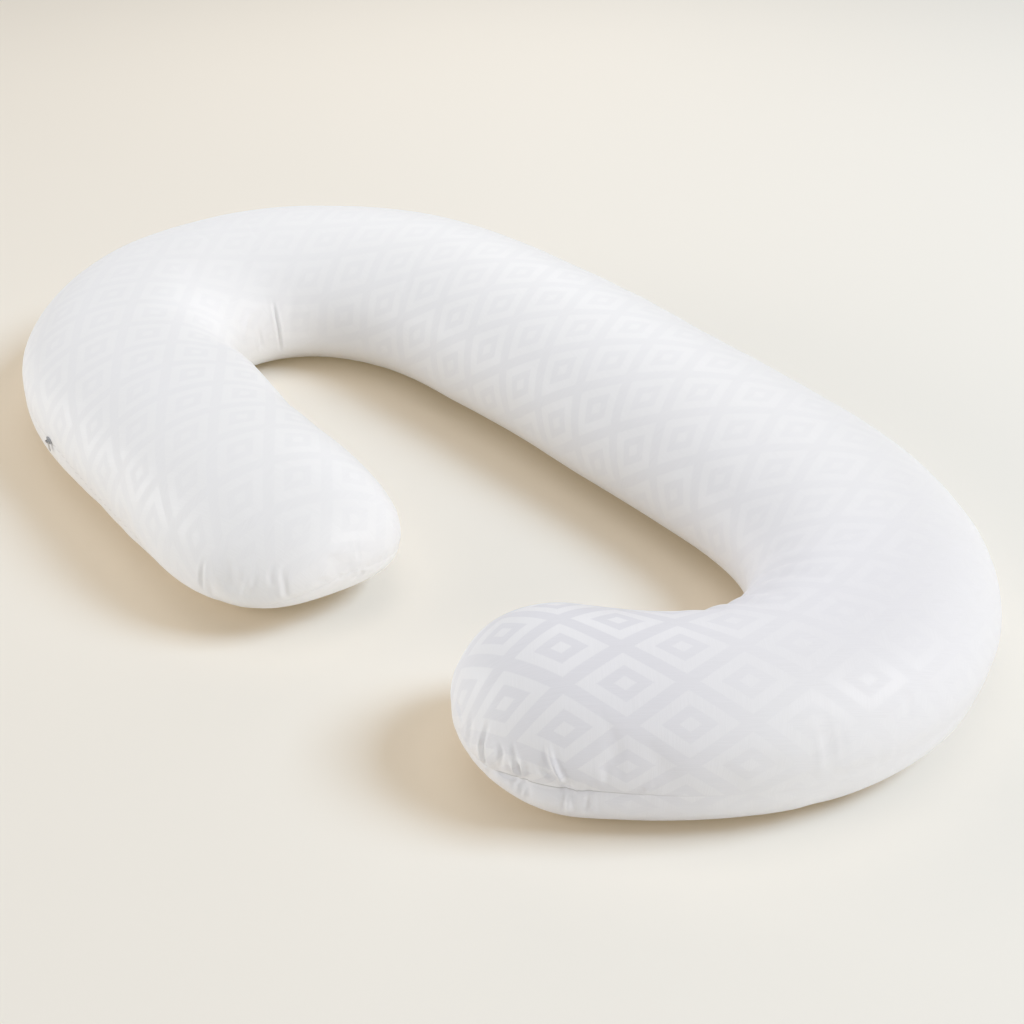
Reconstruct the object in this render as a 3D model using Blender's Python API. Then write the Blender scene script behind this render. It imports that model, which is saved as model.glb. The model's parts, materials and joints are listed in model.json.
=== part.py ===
"""Curled body pillow: one long stuffed cushion bent into a C, with the slider and pull of the zip in its side seam.

Frame: metres, +Z up. The pillow lies on Z = 0, centred on the Z axis. Its long back runs along X on the +Y side.
The far arm turns forward at -X and the near arm at +X, and their blunt ends face each other on the -Y side.

The cushion is a swept form. A middle line, seen from above, turns through two bends. Rings stand across it, each a
crowned top panel and a fuller bottom panel that meet in the side seam. A place along the middle line is a share from
0, the far arm's end, to 1, the near arm's. A place round a ring is an angle: 0 at the outer seam, 90 at the crown,
180 at the inner seam and 270 underneath.
"""
import bpy
import bmesh
import numpy as np
from math import radians, pi
from mathutils import Matrix, Vector
from mathutils.bvhtree import BVHTree

# ---------------------------------------------------------------- driving dimensions: the cushion
MIDDLE_LENGTH = 2.280          # along the middle line, from end to end
BACK_HEADING = 10.0            # degrees by which the line's midpoint heads away from +X, so the back lies along X
TURNS = (
    # turn,            its middle, its share of the line, degrees clockwise seen from above
    ("far bend",            0.298, 0.230, 145.0),
    ("bow of the back",     0.500, 0.300, 31.0),
    ("near bend",           0.814, 0.265, 125.5),
)
HALF_WIDTHS = (
    # share, out to the outer seam, in to the inner seam
    (0.00, 0.134, 0.125),
    (0.09, 0.162, 0.100),
    (0.20, 0.185, 0.095),
    (0.31, 0.220, 0.081),
    (0.42, 0.234, 0.060),
    (0.50, 0.195, 0.092),
    (0.58, 0.178, 0.104),
    (0.69, 0.189, 0.093),
    (0.80, 0.184, 0.082),
    (0.91, 0.126, 0.083),
    (1.00, 0.104, 0.121),
)
THICKNESS = (
    # share, floor to crown
    (0.00, 0.178),
    (0.20, 0.170),
    (0.50, 0.192),
    (0.80, 0.160),
    (1.00, 0.174),
)
FAR_END = (0.200, 2.9)         # length over which the far arm rounds off, and how square its outline is (2 = ellipse)
NEAR_END = (0.125, 1.9)        # the same for the near arm
SEAM_SHARE = 0.415             # height of the side seam as a share of the thickness
UNDERSIDE_SQUARENESS = 2.6     # the bottom panel is fuller than an ellipse (2)
SETTLE = 0.012                 # how far the underside would reach below the floor if it did not lie flat on it
SEAM_PINCH = 0.003             # how far the seam's stitching draws the two panels in
CREASES = (
    # where the cover bunches on the inner side of the bends: share, first angle, last angle, half width, depth
    (0.320, 160.0, 235.0, 0.011, 0.006),
    (0.343, 130.0, 235.0, 0.014, 0.011),
    (0.800, 105.0, 200.0, 0.013, 0.005),
    (0.830, 100.0, 215.0, 0.014, 0.008),
    (0.858, 105.0, 215.0, 0.013, 0.006),
)
RINGS_BETWEEN_ENDS = 76
RINGS_IN_AN_END = 8
POINTS_ROUND = 32

# ---------------------------------------------------------------- driving dimensions: the zip's slider and pull
SLIDER_SHARE = 0.196           # where the slider stops on the outer seam
SLIDER_LENGTH, SLIDER_WIDTH, SLIDER_DEPTH = 0.0100, 0.0076, 0.0030
BRIDGE_LENGTH, BRIDGE_WIDTH, BRIDGE_RISE = 0.0056, 0.0018, 0.0028
BRIDGE_BAR = 0.0010            # thickness of the bridge's legs and of the bar across them
NOSE_NARROWING = 0.62          # width of the slider's front end as a share of its back end
PULL_LENGTH, PULL_WIDTH, PULL_DEPTH = 0.0150, 0.0044, 0.0009
PULL_CORNER = 0.24             # radius of the pull's corners as a share of its width
EYE_LENGTH, EYE_WIDTH = 0.0030, 0.0022
METAL_BEVEL = 0.0004
GAP = 0.0003                   # between pieces that touch

COTTON_WHITE = (0.86, 0.86, 0.87)
ZINC_GREY = (0.36, 0.37, 0.38)

MIDDLE_STEPS = 600             # samples of the middle line


# ---------------------------------------------------------------- small helpers
def smooth_step(x):
    """0 below 0, 1 above 1, and an even S between."""
    x = np.clip(x, 0.0, 1.0)
    return x * x * (3.0 - 2.0 * x)


def through_rows(rows, column, share):
    """A smooth curve through one column of a table, each row's slope taken from its neighbours."""
    at = np.array([row[0] for row in rows])
    value = np.array([row[column] for row in rows])
    slope = np.gradient(value, at)
    row = np.clip(np.searchsorted(at, share) - 1, 0, len(at) - 2)
    width = at[row + 1] - at[row]
    t = (share - at[row]) / width
    return ((2 * t**3 - 3 * t**2 + 1) * value[row] + (t**3 - 2 * t**2 + t) * width * slope[row]
            + (3 * t**2 - 2 * t**3) * value[row + 1] + (t**3 - t**2) * width * slope[row + 1])


def make_material(name, colour, roughness, metallic):
    material = bpy.data.materials.new(name)
    material.use_nodes = True
    shader = material.node_tree.nodes["Principled BSDF"]
    shader.inputs["Base Color"].default_value = (*colour, 1.0)
    shader.inputs["Roughness"].default_value = roughness
    shader.inputs["Metallic"].default_value = metallic
    return material


def make_object(name, bm, material):
    bmesh.ops.recalc_face_normals(bm, faces=bm.faces)
    mesh = bpy.data.meshes.new(name)
    bm.to_mesh(mesh)
    bm.free()
    mesh.materials.append(material)
    mesh.shade_smooth()
    mesh.set_sharp_from_angle(angle=radians(40))
    piece = bpy.data.objects.new(name, mesh)
    bpy.context.scene.collection.objects.link(piece)
    return piece


# ---------------------------------------------------------------- the cushion's form
def middle_line():
    """Share, x, y and heading (radians from +X) of points along the middle line."""
    share = np.linspace(0.0, 1.0, MIDDLE_STEPS)
    heading = np.zeros(MIDDLE_STEPS)
    for name, middle, spread, degrees in TURNS:
        heading -= radians(degrees) * smooth_step((share - middle) / spread + 0.5)
    heading += radians(BACK_HEADING) - np.interp(0.5, share, heading)
    step = MIDDLE_LENGTH / (MIDDLE_STEPS - 1)
    x = np.concatenate([[0.0], np.cumsum((np.cos(heading[1:]) + np.cos(heading[:-1])) / 2 * step)])
    y = np.concatenate([[0.0], np.cumsum((np.sin(heading[1:]) + np.sin(heading[:-1])) / 2 * step)])
    return share, x, y, heading


def end_rounding(share):
    """How much of its full width and thickness the cushion has where its ends round off."""
    wide = np.ones_like(share)
    thick = np.ones_like(share)
    for distance, (length, squareness) in ((share * MIDDLE_LENGTH, FAR_END),
                                           ((1.0 - share) * MIDDLE_LENGTH, NEAR_END)):
        inside = np.clip((length - distance) / length, 0.0, 1.0)
        wide *= (1.0 - inside**squareness) ** (1.0 / squareness)
        thick *= np.sqrt(1.0 - inside**2)
    return wide, thick


def crease_depth(share, degrees):
    """How deep the bunched cover folds in at each point, as soft troughs that fade at their ends."""
    depth = np.zeros(np.broadcast(share, degrees).shape)
    for middle, first, last, half_width, deepest in CREASES:
        across = (share - middle) * MIDDLE_LENGTH / half_width
        along = np.clip((degrees - first) / (last - first), 0.0, 1.0)
        depth += deepest * np.exp(-across**2) * np.sin(pi * along) ** 2
    return depth


def cushion_points(share, degrees):
    """Points of the cushion, one row for each share and one column for each angle round the ring."""
    line_share, line_x, line_y, line_heading = middle_line()
    x = np.interp(share, line_share, line_x)
    y = np.interp(share, line_share, line_y)
    heading = np.interp(share, line_share, line_heading)
    outwards = through_rows(HALF_WIDTHS, 1, share)
    inwards = through_rows(HALF_WIDTHS, 2, share)
    thickness = through_rows(THICKNESS, 1, share)
    wide, thick = end_rounding(share)
    seam_height = SEAM_SHARE * thickness

    angle = np.radians(degrees)
    cosine, sine = np.cos(angle), np.sin(angle)
    fuller = 2.0 / UNDERSIDE_SQUARENESS
    across = np.where(sine >= 0, cosine, np.sign(cosine) * np.abs(cosine) ** fuller)
    rise = np.clip(sine, 0, None)
    drop = np.clip(-sine, 0, None) ** fuller

    half_width = (outwards + inwards) / 2 * wide
    centre = (outwards - inwards) / 2 * wide
    fold = crease_depth(share[:, None], degrees[None])
    pinch = SEAM_PINCH * wide[:, None] * (np.abs(sine) < 1e-6)[None]
    draw_in = 1.0 - (fold + pinch) / np.maximum(half_width, SEAM_PINCH)[:, None]
    offset = centre[:, None] + half_width[:, None] * across[None] * draw_in
    z = (seam_height[:, None]
         + ((thickness - seam_height) * thick)[:, None] * rise[None]
         - ((seam_height + SETTLE) * thick)[:, None] * drop[None])
    z = np.maximum(z, 0.0)
    return x[:, None] - np.sin(heading)[:, None] * offset, y[:, None] + np.cos(heading)[:, None] * offset, z


def ring_shares():
    """Shares of the rings: close together where an end rounds off, even between."""
    turn = np.linspace(0, pi / 2, RINGS_IN_AN_END + 1)[1:-1]
    far = FAR_END[0] / MIDDLE_LENGTH
    near = NEAR_END[0] / MIDDLE_LENGTH
    return np.concatenate([far * (1 - np.cos(turn)),
                           np.linspace(far, 1 - near, RINGS_BETWEEN_ENDS),
                           1 - near * (1 - np.cos(turn[::-1]))])


def make_cushion(material):
    """Bridge the rings one to the next and close each end on a point at the seam's height."""
    shares = np.concatenate([[0.0], ring_shares(), [1.0]])
    degrees = np.arange(POINTS_ROUND) * 360.0 / POINTS_ROUND
    x, y, z = cushion_points(shares, degrees)
    x -= (x.min() + x.max()) / 2
    y -= (y.min() + y.max()) / 2

    bm = bmesh.new()
    previous = None
    for row in range(1, len(shares) - 1):
        verts = [bm.verts.new(point) for point in zip(x[row], y[row], z[row])]
        ring = [bm.edges.new((verts[i], verts[(i + 1) % POINTS_ROUND])) for i in range(POINTS_ROUND)]
        if previous:
            bmesh.ops.bridge_loops(bm, edges=previous + ring)
        else:
            first = ring
        previous = ring
    for ring, row in ((first, 0), (previous, len(shares) - 1)):
        fan = bmesh.ops.extrude_edge_only(bm, edges=ring)["geom"]
        tip = Vector((x[row, 0], y[row, 0], z[row, 0]))
        bmesh.ops.pointmerge(bm, verts=[item for item in fan if isinstance(item, bmesh.types.BMVert)], merge_co=tip)
    return make_object("pillow", bm, material)


# ---------------------------------------------------------------- the slider and its pull
def block(size, centre):
    """A closed box as a new bmesh, in the slider's own axes: X along the seam, Y up, Z away from the cushion."""
    bm = bmesh.new()
    bmesh.ops.create_cube(bm, size=1.0)
    bmesh.ops.scale(bm, vec=size, verts=bm.verts)
    bmesh.ops.translate(bm, vec=centre, verts=bm.verts)
    return bm


def combine(piece, operation, name, bm):
    """Add a shape to a piece, or cut it out, with a Boolean. The shape stays beside the piece as a hidden guide."""
    tool = make_object(name, bm, piece.data.materials[0])
    tool.hide_render = True
    tool.display_type = "WIRE"
    tool.matrix_world = piece.matrix_world
    modifier = piece.modifiers.new(name, "BOOLEAN")
    modifier.operation = operation
    modifier.solver = "EXACT"
    modifier.object = tool


def soften_edges(piece):
    modifier = piece.modifiers.new("softened edges", "BEVEL")
    modifier.width = METAL_BEVEL
    modifier.segments = 2


def seam_axes(cushion):
    """The slider's own axes in the part's frame, its origin just off the cushion's outer seam."""
    surface = BVHTree.FromObject(cushion, bpy.context.evaluated_depsgraph_get())
    shares = np.concatenate([[0.0], ring_shares(), [1.0]])
    ring = int(np.searchsorted(shares, SLIDER_SHARE))
    corners = [vert.co.copy() for vert in cushion.data.vertices]
    before, after = (corners[(row - 1) * POINTS_ROUND] for row in (ring - 1, ring))
    along = (after - before).normalized()
    up = Vector((0, 0, 1))
    up = (up - along * up.dot(along)).normalized()
    middle = (before + after) / 2
    ring_centre = sum(corners[(ring - 1) * POINTS_ROUND:ring * POINTS_ROUND], Vector()) / POINTS_ROUND
    out = along.cross(up)
    if out.dot(middle - ring_centre) < 0:
        out = -out
        along = -along
    reach = 0.0
    for i in (-1, 1):
        for j in (-1, 1):
            corner = middle + along * (i * SLIDER_LENGTH / 2) + up * (j * SLIDER_WIDTH / 2)
            hit = surface.ray_cast(corner + out * SLIDER_LENGTH, -out)[0]
            reach = max(reach, (hit - middle).dot(out))
    axes = Matrix((along, up, out)).transposed().to_4x4()
    return Matrix.Translation(middle + out * (reach + GAP)) @ axes


def make_slider(axes, material):
    """The slider's body, closed in front, with the bridge that holds the pull standing on it."""
    body = block((SLIDER_LENGTH, SLIDER_WIDTH, SLIDER_DEPTH), (0, 0, SLIDER_DEPTH / 2))
    nose = [vert for vert in body.verts if vert.co.x > 0]
    bmesh.ops.scale(body, vec=(1, NOSE_NARROWING, 1), verts=nose)
    slider = make_object("zip_slider", body, material)
    slider.matrix_world = axes
    soften_edges(slider)

    root = METAL_BEVEL             # how deep the bridge's legs stand in the body
    centre = SLIDER_DEPTH + (BRIDGE_RISE - root) / 2
    combine(slider, "UNION", "bridge", block((BRIDGE_LENGTH, BRIDGE_WIDTH, BRIDGE_RISE + root), (0, 0, centre)))
    mouth = (BRIDGE_LENGTH - 2 * BRIDGE_BAR, 2 * BRIDGE_WIDTH, BRIDGE_RISE - BRIDGE_BAR)
    combine(slider, "DIFFERENCE", "bridge mouth", block(mouth, (0, 0, SLIDER_DEPTH + mouth[2] / 2)))


def make_pull(axes, material):
    """The pull hangs straight down by its eye, which goes round the bridge's front leg."""
    leg = BRIDGE_LENGTH / 2 - BRIDGE_BAR / 2
    lift = SLIDER_DEPTH + GAP + PULL_DEPTH / 2
    top = BRIDGE_WIDTH / 2 + GAP + (PULL_WIDTH - EYE_WIDTH) / 2
    plate = block((PULL_WIDTH, PULL_LENGTH, PULL_DEPTH), (leg, top - PULL_LENGTH / 2, lift))
    corners = [edge for edge in plate.edges if abs(edge.verts[0].co.z - edge.verts[1].co.z) > PULL_DEPTH / 2]
    bmesh.ops.bevel(plate, geom=corners, offset=PULL_WIDTH * PULL_CORNER, segments=4, profile=0.5, affect="EDGES")
    pull = make_object("zip_pull", plate, material)
    pull.matrix_world = axes
    eye_top = BRIDGE_WIDTH / 2 + GAP
    eye = block((EYE_WIDTH, EYE_LENGTH, 4 * PULL_DEPTH), (leg, eye_top - EYE_LENGTH / 2, lift))
    combine(pull, "DIFFERENCE", "pull eye", eye)


# ---------------------------------------------------------------- build
for old in list(bpy.data.objects):
    bpy.data.objects.remove(old, do_unlink=True)

cotton = make_material("cotton white", COTTON_WHITE, 0.75, 0.0)
zinc = make_material("zinc grey", ZINC_GREY, 0.40, 0.9)

pillow = make_cushion(cotton)
slider_axes = seam_axes(pillow)
make_slider(slider_axes, zinc)
make_pull(slider_axes, zinc)
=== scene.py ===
# %% [markdown]
# # A curled body pillow, dressed for the camera
#
# The real object is one long cushion, bent into a C. Its cover is two panels of white jacquard satin, sewn
# together along one seam that runs right round the side, with a zip let into that seam on the outside of
# the far arm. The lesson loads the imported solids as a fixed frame, sews a fine cover over the plain cushion
# solid, fills it, wrinkles it and weaves it, and then lights it on a pale floor.

# %% Load the frame
import json
import bpy
import numpy as np
from math import cos, pi, radians, sin
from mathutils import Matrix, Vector, noise
from mathutils.kdtree import KDTree

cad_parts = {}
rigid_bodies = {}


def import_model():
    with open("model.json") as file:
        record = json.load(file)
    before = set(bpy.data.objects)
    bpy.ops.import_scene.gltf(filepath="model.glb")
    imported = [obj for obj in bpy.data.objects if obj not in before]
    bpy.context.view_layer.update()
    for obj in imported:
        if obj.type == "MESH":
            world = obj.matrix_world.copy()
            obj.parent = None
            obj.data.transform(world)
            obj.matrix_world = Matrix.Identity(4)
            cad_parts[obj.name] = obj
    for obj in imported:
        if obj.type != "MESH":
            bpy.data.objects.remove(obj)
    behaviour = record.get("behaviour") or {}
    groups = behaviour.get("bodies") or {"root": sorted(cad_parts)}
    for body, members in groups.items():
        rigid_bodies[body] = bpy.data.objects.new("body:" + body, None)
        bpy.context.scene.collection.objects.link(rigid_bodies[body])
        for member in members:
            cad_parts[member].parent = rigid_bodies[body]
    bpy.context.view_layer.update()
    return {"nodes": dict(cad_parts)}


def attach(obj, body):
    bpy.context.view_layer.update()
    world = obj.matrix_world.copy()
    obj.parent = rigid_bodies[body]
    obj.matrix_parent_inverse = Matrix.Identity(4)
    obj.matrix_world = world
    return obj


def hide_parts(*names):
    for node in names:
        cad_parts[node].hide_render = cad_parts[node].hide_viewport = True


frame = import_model()
SOLID = "pillow"
MM = 0.001
print("nodes:", sorted(frame["nodes"]))

# %% [markdown]
# ## The form of the cushion
#
# A curled pillow has no straight axis to model along. It could be carved from a remeshed solid, but then
# nothing would know where the seam runs or which way the cloth lies. So it is swept, as the solid of the
# frame is: a middle line turns through two bends, and rings stand across it. A share from 0 to 1 says how
# far along the line a ring stands, from the far arm's end to the near arm's. An angle says where a point is
# on its ring: 0 at the outer side, 90 at the crown, 180 at the inner side and 270 underneath. The sizes are
# those of the frame's solid, in metres.

# %% Sizes of the cushion
MIDDLE_LENGTH = 2.280
BACK_HEADING = 10.0
TURNS = (
    # turn,            its middle, its share of the line, degrees clockwise seen from above
    ("far bend",            0.298, 0.230, 145.0),
    ("bow of the back",     0.500, 0.300, 31.0),
    ("near bend",           0.814, 0.265, 125.5),
)
HALF_WIDTHS = (
    # share, out to the outer seam, in to the inner seam
    (0.00, 0.134, 0.125),
    (0.09, 0.162, 0.100),
    (0.20, 0.185, 0.095),
    (0.31, 0.220, 0.081),
    (0.42, 0.234, 0.060),
    (0.50, 0.195, 0.092),
    (0.58, 0.178, 0.104),
    (0.69, 0.189, 0.093),
    (0.80, 0.184, 0.082),
    (0.91, 0.126, 0.083),
    (1.00, 0.104, 0.121),
)
THICKNESS = (
    # share, floor to crown
    (0.00, 0.178),
    (0.20, 0.170),
    (0.50, 0.192),
    (0.80, 0.160),
    (1.00, 0.174),
)
FAR_END = (0.200, 2.9)         # length over which the far arm rounds off, and how square its outline is
NEAR_END = (0.125, 1.9)        # the same for the near arm
SIDE_SHARE = 0.415             # height of its widest place as a share of the thickness
UNDERSIDE_SQUARENESS = 2.6
SETTLE = 0.012                 # how far the underside would reach below the floor if it were not flat
OUTER_SIDE, CROWN, INNER_SIDE, UNDERSIDE = 0.0, 90.0, 180.0, 270.0


# %% The middle line and the tables read as smooth curves
def smooth_step(x):
    """0 below 0, 1 above 1, and an even S between."""
    x = np.clip(x, 0.0, 1.0)
    return x * x * (3.0 - 2.0 * x)


def through_rows(rows, column, share):
    """A smooth curve through one column of a table, each row's slope taken from its neighbours."""
    at = np.array([row[0] for row in rows])
    value = np.array([row[column] for row in rows])
    slope = np.gradient(value, at)
    row = np.clip(np.searchsorted(at, share) - 1, 0, len(at) - 2)
    width = at[row + 1] - at[row]
    t = (share - at[row]) / width
    return ((2 * t**3 - 3 * t**2 + 1) * value[row] + (t**3 - 2 * t**2 + t) * width * slope[row]
            + (3 * t**2 - 2 * t**3) * value[row + 1] + (t**3 - t**2) * width * slope[row + 1])


def middle_line(steps=600):
    """Share, x, y and heading (radians from +X) of points along the middle line."""
    share = np.linspace(0.0, 1.0, steps)
    heading = np.zeros(steps)
    for _, middle, spread, degrees in TURNS:
        heading -= radians(degrees) * smooth_step((share - middle) / spread + 0.5)
    heading += radians(BACK_HEADING) - np.interp(0.5, share, heading)
    step = MIDDLE_LENGTH / (steps - 1)
    x = np.concatenate([[0.0], np.cumsum((np.cos(heading[1:]) + np.cos(heading[:-1])) / 2 * step)])
    y = np.concatenate([[0.0], np.cumsum((np.sin(heading[1:]) + np.sin(heading[:-1])) / 2 * step)])
    return share, x, y, heading


LINE_SHARE, LINE_X, LINE_Y, LINE_HEADING = middle_line()
print("the line turns", round(np.degrees(LINE_HEADING[0] - LINE_HEADING[-1])), "degrees from end to end")


# %% A point of the cushion from its share and angle
def end_rounding(share):
    """How much of its full width and thickness the cushion has where its ends round off."""
    wide = np.ones_like(share)
    thick = np.ones_like(share)
    for distance, (length, squareness) in ((share * MIDDLE_LENGTH, FAR_END),
                                           ((1.0 - share) * MIDDLE_LENGTH, NEAR_END)):
        inside = np.clip((length - distance) / length, 0.0, 1.0)
        wide *= (1.0 - inside**squareness) ** (1.0 / squareness)
        thick *= np.sqrt(1.0 - inside**2)
    return wide, thick


def cushion_points(share, degrees, centre=(0.0, 0.0)):
    """Points of the cushion, as an array of one (x, y, z) for each pair of share and angle."""
    share, degrees = np.broadcast_arrays(np.asarray(share, float), np.asarray(degrees, float))
    heading = np.interp(share, LINE_SHARE, LINE_HEADING)
    outwards = through_rows(HALF_WIDTHS, 1, share)
    inwards = through_rows(HALF_WIDTHS, 2, share)
    thickness = through_rows(THICKNESS, 1, share)
    wide, thick = end_rounding(share)
    side_height = SIDE_SHARE * thickness
    cosine, sine = np.cos(np.radians(degrees)), np.sin(np.radians(degrees))
    fuller = 2.0 / UNDERSIDE_SQUARENESS
    across = np.where(sine >= 0, cosine, np.sign(cosine) * np.abs(cosine) ** fuller)
    offset = wide * ((outwards - inwards) / 2 + (outwards + inwards) / 2 * across)
    z = (side_height + (thickness - side_height) * thick * np.clip(sine, 0, None)
         - (side_height + SETTLE) * thick * np.clip(-sine, 0, None) ** fuller)
    x = np.interp(share, LINE_SHARE, LINE_X) - np.sin(heading) * offset - centre[0]
    y = np.interp(share, LINE_SHARE, LINE_Y) + np.cos(heading) * offset - centre[1]
    return np.stack([x, y, np.maximum(z, 0.0)], axis=-1)


TRIAL_RINGS, TRIAL_STEP = 400, 5.0
trial_shares = np.linspace(0, 1, TRIAL_RINGS)[:, None]
trial = cushion_points(trial_shares, np.arange(0, 360, TRIAL_STEP)[None]).reshape(-1, 3)
CENTRE = (trial.min(0) + trial.max(0))[:2] / 2
print("size from the tables:", np.round(np.ptp(trial, axis=0), 4))

# %% [markdown]
# ## The cover, cut and sewn
#
# A real cover is two panels of flat cloth, cut to shape and sewn round their edge. The seam follows the
# outer side, goes round both ends, and then turns under, so that on the inner side it lies where the pillow
# meets the floor. Here the cover is a sleeve of clean quads, closed on a point at each end, whose edges run
# along and across the pillow as the threads do. Even steps along the outline put many rings at the blunt
# ends, where the cloth will pucker, and a narrow strip on each side of the seam leaves room for its groove.
# A map named `place` travels with the sleeve: it remembers each corner's share and angle, so that every
# later step can find a bend or an end by asking the cloth.

# %% Numbers of rings and rows, and the seam's path
RINGS = 190
END_LENGTH = 0.045             # the share of the line, at each end, where rings stand closer
END_CLOSER = 1.5
SEAM_ANGLES = (
    # share, where the seam lies on the outer side, and on the inner side
    (0.00, -34.0, 190.0),
    (0.03, -33.0, 196.0),
    (0.06, -24.0, 208.0),
    (0.10, -10.0, 228.0),
    (0.15, -6.0, 236.0),
    (0.20, 0.0, 238.0),
    (0.30, -2.0, 238.0),
    (0.50, -3.5, 238.0),
    (0.80, -3.5, 238.0),
    (0.88, -3.5, 228.0),
    (0.94, -4.0, 200.0),
    (0.96, -6.0, 193.0),
    (0.975, -11.0, 188.0),
    (1.00, -26.0, 184.0),
)
TOP_ROWS, BOTTOM_ROWS = 21, 10     # rows of quads in each panel
SEAM_STRIP = 0.018             # width of the row beside the seam, as a share of its panel
OUTLINE_SAMPLES = 6000


# %% Where rings and rows lie
def even_shares(count):
    """Shares of rings at even steps along the cover's sides and crown, and closer at the ends."""
    share = (1 - np.cos(np.linspace(0, pi, OUTLINE_SAMPLES))) / 2
    step = sum(np.linalg.norm(np.diff(cushion_points(share, degrees), axis=0), axis=1)
               for degrees in (OUTER_SIDE, CROWN, INNER_SIDE))
    from_end = np.minimum(share, 1 - share)[1:]
    step *= 1 + END_CLOSER * (1 - smooth_step(from_end / END_LENGTH - 1))
    travelled = np.append(0, np.cumsum(step))
    return np.interp(np.linspace(0, travelled[-1], count + 2), travelled, share)


def panel_rows(count):
    """Where a panel's rows of edges lie, as shares of its width, with a narrow row beside each seam."""
    return np.concatenate([[0.0], np.linspace(SEAM_STRIP, 1 - SEAM_STRIP, count - 1), [1.0]])


def ring_angles(share):
    """The angles of one ring's points, once round from the outer seam and back to it."""
    outer, inner = (through_rows(SEAM_ANGLES, column, share) for column in (1, 2))
    top = outer + (inner - outer) * panel_rows(TOP_ROWS)
    bottom = inner + (360 + outer - inner) * panel_rows(BOTTOM_ROWS)
    return np.append(top, bottom[1:])


shares = even_shares(RINGS)
print(RINGS, "rings of", TOP_ROWS + BOTTOM_ROWS, "points")


# %% How the sleeve is made
def make_sleeve(name):
    """One vertex for each ring and row, a closing point at each end, and the map of places."""
    steps = TOP_ROWS + BOTTOM_ROWS
    turns = np.array([ring_angles(share) for share in shares]) / 360.0
    rings = cushion_points(shares[1:-1, None], turns[1:-1, :-1] * 360.0, CENTRE).reshape(-1, 3)
    tips = cushion_points(shares[[0, -1]], OUTER_SIDE, CENTRE)
    far_tip, near_tip = len(rings), len(rings) + 1
    faces, places = [], []
    for ring in range(-1, RINGS):
        for step in range(steps):
            here, there = ring * steps + step, ring * steps + (step + 1) % steps
            (a, b), (d, c) = ([(shares[row], turns[row, column]) for column in (step, step + 1)]
                              for row in (ring + 1, ring + 2))
            if ring < 0:
                faces.append((far_tip, there + steps, here + steps))
                places += [(a[0], (a[1] + b[1]) / 2), c, d]
            elif ring == RINGS - 1:
                faces.append((here, there, near_tip))
                places += [a, b, (c[0], (c[1] + d[1]) / 2)]
            else:
                faces.append((here, there, there + steps, here + steps))
                places += [a, b, c, d]
    mesh = bpy.data.meshes.new(name)
    mesh.from_pydata(np.vstack([rings, tips]).tolist(), [], faces)
    mesh.uv_layers.new(name="place").uv.foreach_set("vector", np.array(places, np.float32).ravel())
    mesh.update()
    sleeve = bpy.data.objects.new(name, mesh)
    bpy.context.scene.collection.objects.link(sleeve)
    return sleeve


def only(piece):
    """Select this piece alone and make it active, so that the next operator acts on it."""
    bpy.ops.object.select_all(action="DESELECT")
    piece.select_set(True)
    bpy.context.view_layer.objects.active = piece


# %% Sew the sleeve
cover = make_sleeve("pillow_cover")
only(cover)
bpy.ops.object.mode_set(mode="EDIT")
bpy.ops.mesh.select_all(action="SELECT")
bpy.ops.mesh.normals_make_consistent(inside=False)
bpy.ops.object.mode_set(mode="OBJECT")
print("sleeve:", len(cover.data.vertices), "points,", len(cover.data.polygons), "faces")


# %% Helpers: points and places
def read_array(items, what, width=1, kind=np.float32):
    """One property of every item in a list of a mesh, as an array of so many columns."""
    flat = np.empty(len(items) * width, kind)
    items.foreach_get(what, flat)
    return flat.reshape(-1, width)


def points_of(piece, what="co"):
    """The piece's vertices, or their normals, as an array."""
    return read_array(piece.data.vertices, what, 3).astype(float)


def move_points(piece, points):
    piece.data.vertices.foreach_set("co", np.asarray(points, np.float32).ravel())
    piece.data.update()


def corner_places(piece):
    """Share and turn of each corner of each face."""
    return read_array(piece.data.uv_layers["place"].uv, "vector", 2)


def places_of(piece):
    """Share and angle of each vertex, read back from the map on its corners."""
    vertex = read_array(piece.data.loops, "vertex_index", kind=np.int32)[:, 0]
    place = np.zeros((len(piece.data.vertices), 2))
    place[vertex] = corner_places(piece)
    return place[:, 0], place[:, 1] * 360.0


# %% Helpers: finer and smoother cloth
def subdivide(piece):
    """One Catmull-Clark step, applied, with the map kept straight."""
    only(piece)
    modifier = piece.modifiers.new("finer cloth", "SUBSURF")
    modifier.levels = modifier.render_levels = 1
    modifier.uv_smooth = "NONE"
    bpy.ops.object.modifier_apply(modifier=modifier.name)


def smoothed(piece, values, rounds):
    """Values at the vertices, each averaged with its neighbours again and again."""
    start, end = read_array(piece.data.edges, "vertices", 2, np.int32).T
    count = len(piece.data.vertices)
    neighbours = np.bincount(start, minlength=count) + np.bincount(end, minlength=count)
    for _ in range(rounds):
        total = [np.bincount(start, column[end], count) + np.bincount(end, column[start], count)
                 for column in values.T]
        values = (values + np.array(total).T / neighbours[:, None]) / 2
    return values


subdivide(cover)
move_points(cover, cushion_points(*places_of(cover), CENTRE))
print("after one step:", len(cover.data.vertices), "points")

# %% [markdown]
# ## Filling it
#
# A stuffed cover is in tension: the filling presses outwards, the cloth pulls along its threads, and the
# seam, sewn a little shorter than the cloth beside it, gathers both panels into small puckers. Cloth
# simulation makes all of that at once. The underside is pinned where it lies on the floor, and gravity is
# off because the weight is already in that flat underside. The swept form has its filled size already, so
# the even part of the swelling is taken out again, and a cap holds the rest to a few millimetres. A table
# says how much of that unevenness is let through: most at the two ends, less at the bends, and least along
# the back, which is stuffed tight and stays smooth.

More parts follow.
